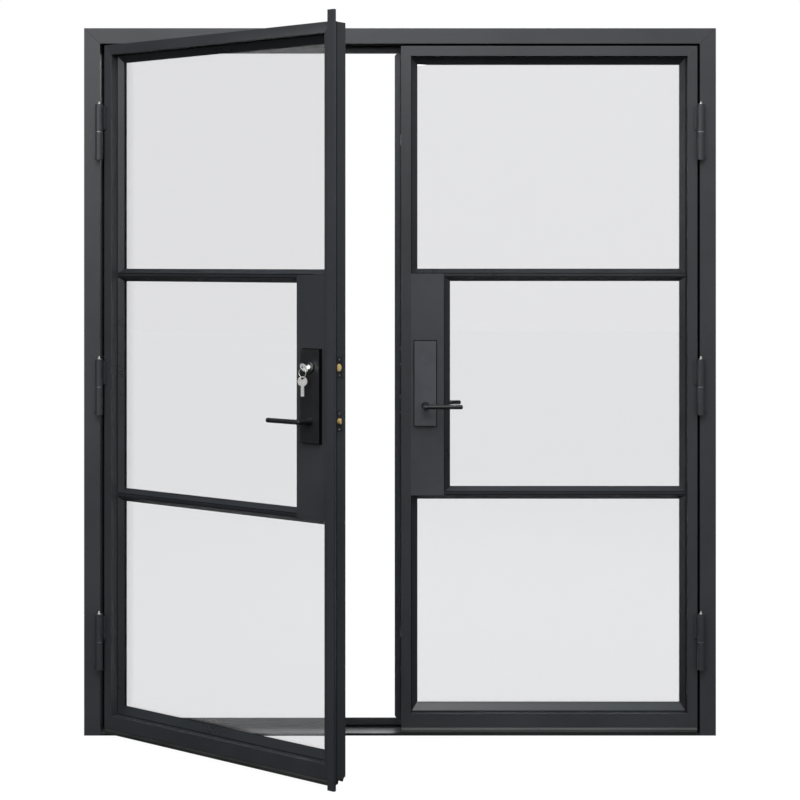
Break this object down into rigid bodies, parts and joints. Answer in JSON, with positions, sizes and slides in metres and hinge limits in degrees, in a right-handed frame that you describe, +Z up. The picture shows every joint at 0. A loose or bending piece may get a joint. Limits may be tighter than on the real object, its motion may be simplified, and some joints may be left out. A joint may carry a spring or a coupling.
{
  "type": "steel and glass french doors",
  "caption": "Outward-opening black steel and glass double doors in their frame, one leaf ajar, with lever locks, barrel hinges and a stepped sill.",
  "frame": {"origin": "middle of the sill's underside, at half the frame's depth", "axes": "+X along the wall to the inactive leaf's hinges, +Y into the building, +Z up"},
  "size_m": [1.829, 0.6628, 2.048],
  "materials": {
    "frame_black": "satin powder coat on steel",
    "lock_black": "satin black plated furniture",
    "rubber": "matt EPDM",
    "glass": "clear float glass",
    "spacer": "black warm-edge spacer",
    "bright_steel": "zinc plated steel",
    "brass": "polished brass",
    "nickel": "nickel plated"
  },
  "bodies": {
    "frame": {"frame_head": "frame_black", "frame_jamb_left": "frame_black", "frame_jamb_right": "frame_black", "frame_stops": "frame_black", "frame_sill": "frame_black", "frame_seals": "rubber", "left_frame_knuckles": "frame_black", "right_frame_knuckles": "frame_black", "hinge_pins": "bright_steel"},
    "left_leaf": {"left_hinge_stile": "frame_black", "left_meeting_stile": "frame_black", "left_top_rail": "frame_black", "left_bottom_rail": "frame_black", "left_lock_panel": "frame_black", "left_glazing_bars": "frame_black", "left_beads": "frame_black", "left_glass": "glass", "left_spacers": "spacer", "left_leaf_knuckles": "frame_black", "left_hinge_nipples": "bright_steel", "left_astragal": "frame_black", "left_meeting_seal": "rubber", "left_sweep": "rubber", "left_outer_escutcheon": "lock_black", "left_inner_escutcheon": "lock_black", "lock_cylinder": "nickel", "lock_cases": "lock_black", "faceplate_screws": "bright_steel"},
    "left_levers": {"left_outer_lever": "lock_black", "left_inner_lever": "lock_black", "left_spindle": "bright_steel"},
    "latch": {"latch_bolt": "brass"},
    "key_and_plug": {"cylinder_plug": "nickel", "door_key": "nickel", "key_ring": "nickel", "spare_key": "nickel"},
    "deadbolt_bar": {"deadbolt": "brass"},
    "inside_turn": {"thumb_turn": "lock_black"},
    "right_leaf": {"right_hinge_stile": "frame_black", "right_meeting_stile": "frame_black", "right_top_rail": "frame_black", "right_bottom_rail": "frame_black", "right_lock_panel": "frame_black", "right_glazing_bars": "frame_black", "right_beads": "frame_black", "right_glass": "glass", "right_spacers": "spacer", "right_leaf_knuckles": "frame_black", "right_hinge_nipples": "bright_steel", "right_rear_lip": "frame_black", "right_leaf_seals": "rubber", "right_outer_escutcheon": "lock_black", "right_inner_escutcheon": "lock_black", "strike_plates": "lock_black", "strike_screws": "bright_steel"},
    "right_levers": {"right_outer_lever": "lock_black", "right_inner_lever": "lock_black", "right_spindle": "bright_steel"},
    "top_bolt": {"top_flush_bolt": "bright_steel"},
    "bottom_bolt": {"bottom_flush_bolt": "bright_steel"}
  },
  "joints": [
    {"name": "left_leaf_swing", "type": "hinge", "parent": "frame", "child": "left_leaf", "pos_m": [-0.8685, -0.0615, 1], "axis": [0, 0, -1], "range_deg": [-37.5, 130]},
    {"name": "right_leaf_swing", "type": "hinge", "parent": "frame", "child": "right_leaf", "pos_m": [0.8685, -0.0615, 1], "axis": [0, 0, 1], "range_deg": [0, 167]},
    {"name": "left_lever_turn", "type": "hinge", "parent": "left_leaf", "child": "left_levers", "pos_m": [-0.22947, -0.53546, 0.956], "axis": [-0.6088, -0.7934, 0], "range_deg": [0, 45], "stiffness_Nm_per_rad": 2, "springref_deg": -20.05},
    {"name": "latch_slide", "type": "slide", "parent": "left_leaf", "child": "latch", "axis": [-0.7934, 0.6088, 0], "range_m": [0, 0.0112]},
    {"name": "key_turn", "type": "hinge", "parent": "left_leaf", "child": "key_and_plug", "pos_m": [-0.22947, -0.53546, 1.096], "axis": [0.6088, 0.7934, 0], "range_deg": [0, 90]},
    {"name": "deadbolt_slide", "type": "slide", "parent": "left_leaf", "child": "deadbolt_bar", "axis": [0.7934, -0.6088, 0], "range_m": [0, 0.0254]},
    {"name": "thumb_turn_turn", "type": "hinge", "parent": "left_leaf", "child": "inside_turn", "pos_m": [-0.19782, -0.4942, 1.096], "axis": [0.6088, 0.7934, 0], "range_deg": [0, 91.5]},
    {"name": "right_lever_turn", "type": "hinge", "parent": "right_leaf", "child": "right_levers", "pos_m": [0.073, -0.0485, 0.956], "axis": [0, 1, 0], "range_deg": [0, 45], "stiffness_Nm_per_rad": 2, "springref_deg": -20.05},
    {"name": "top_bolt_slide", "type": "slide", "parent": "right_leaf", "child": "top_bolt", "axis": [0, 0, 1], "range_m": [0, 0.02]},
    {"name": "bottom_bolt_slide", "type": "slide", "parent": "right_leaf", "child": "bottom_bolt", "axis": [0, 0, -1], "range_m": [0, 0.02]}
  ],
  "couplings": [
    {"joint": "latch_slide", "follows": "left_lever_turn", "m_per_rad": 0.014006},
    {"joint": "deadbolt_slide", "follows": "key_turn", "m_per_rad": 0.015915},
    {"joint": "thumb_turn_turn", "follows": "key_turn", "ratio": 1}
  ]
}
